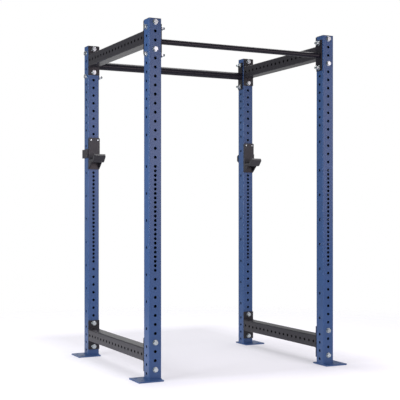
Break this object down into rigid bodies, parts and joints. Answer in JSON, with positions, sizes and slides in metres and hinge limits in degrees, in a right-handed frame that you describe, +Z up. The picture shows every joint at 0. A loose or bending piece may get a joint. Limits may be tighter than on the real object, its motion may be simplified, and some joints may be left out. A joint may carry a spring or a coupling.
{
  "type": "power cage",
  "caption": "Free-standing power cage: drilled square-tube uprights on flat feet, side crossmembers, a thin and a fat pull-up bar, and J-cups that swing in to hold a barbell.",
  "frame": {"origin": "On the floor, at the centre of the cage's footprint", "axes": "+X runs along the pull-up bars from the left side to the right side, +Y runs along the crossmembers from the thin pull-up bar's side to the fat one's, and +Z is up"},
  "size_m": [1.397, 1.1556, 2.0412],
  "materials": {
    "blue_powder_coat": "satin blue powder coat",
    "black_powder_coat": "satin black powder coat",
    "zinc": "bright zinc plate",
    "black_plastic": "matte black polyethylene",
    "cap_plastic": "matte black"
  },
  "bodies": {
    "cage": {"upright_front_left": "blue_powder_coat", "upright_front_right": "blue_powder_coat", "upright_rear_left": "blue_powder_coat", "upright_rear_right": "blue_powder_coat", "cap_front_left": "cap_plastic", "cap_front_right": "cap_plastic", "cap_rear_left": "cap_plastic", "cap_rear_right": "cap_plastic", "crossmember_left_top": "black_powder_coat", "crossmember_left_bottom": "black_powder_coat", "crossmember_right_top": "black_powder_coat", "crossmember_right_bottom": "black_powder_coat", "pullup_bar_thin": "black_powder_coat", "pullup_bar_fat": "black_powder_coat", "bolt_front_left_top_upper": "zinc", "bolt_front_left_top_lower": "zinc", "bolt_front_left_bottom_upper": "zinc", "bolt_front_left_bottom_lower": "zinc", "bolt_front_left_bar_upper": "zinc", "bolt_front_left_bar_lower": "zinc", "bolt_front_right_top_upper": "zinc", "bolt_front_right_top_lower": "zinc", "bolt_front_right_bottom_upper": "zinc", "bolt_front_right_bottom_lower": "zinc", "bolt_front_right_bar_upper": "zinc", "bolt_front_right_bar_lower": "zinc", "bolt_rear_left_top_upper": "zinc", "bolt_rear_left_top_lower": "zinc", "bolt_rear_left_bottom_upper": "zinc", "bolt_rear_left_bottom_lower": "zinc", "bolt_rear_left_bar_upper": "zinc", "bolt_rear_left_bar_lower": "zinc", "bolt_rear_right_top_upper": "zinc", "bolt_rear_right_top_lower": "zinc", "bolt_rear_right_bottom_upper": "zinc", "bolt_rear_right_bottom_lower": "zinc", "bolt_rear_right_bar_upper": "zinc", "bolt_rear_right_bar_lower": "zinc"},
    "left_jcup": {"left_jcup_bracket": "black_powder_coat", "left_jcup_pin": "zinc", "left_jcup_back_liner": "black_plastic", "left_jcup_saddle_liner": "black_plastic", "left_jcup_screw_outer": "zinc", "left_jcup_screw_inner": "zinc"},
    "right_jcup": {"right_jcup_bracket": "black_powder_coat", "right_jcup_pin": "zinc", "right_jcup_back_liner": "black_plastic", "right_jcup_saddle_liner": "black_plastic", "right_jcup_screw_outer": "zinc", "right_jcup_screw_inner": "zinc"}
  },
  "joints": [
    {"name": "left_jcup_swing", "type": "hinge", "parent": "cage", "child": "left_jcup", "pos_m": [-0.5842, 0.46355, 1.4097], "axis": [0, 1, 0], "range_deg": [0, 90]},
    {"name": "right_jcup_swing", "type": "hinge", "parent": "cage", "child": "right_jcup", "pos_m": [0.5842, 0.46355, 1.4097], "axis": [0, -1, 0], "range_deg": [0, 90]}
  ]
}
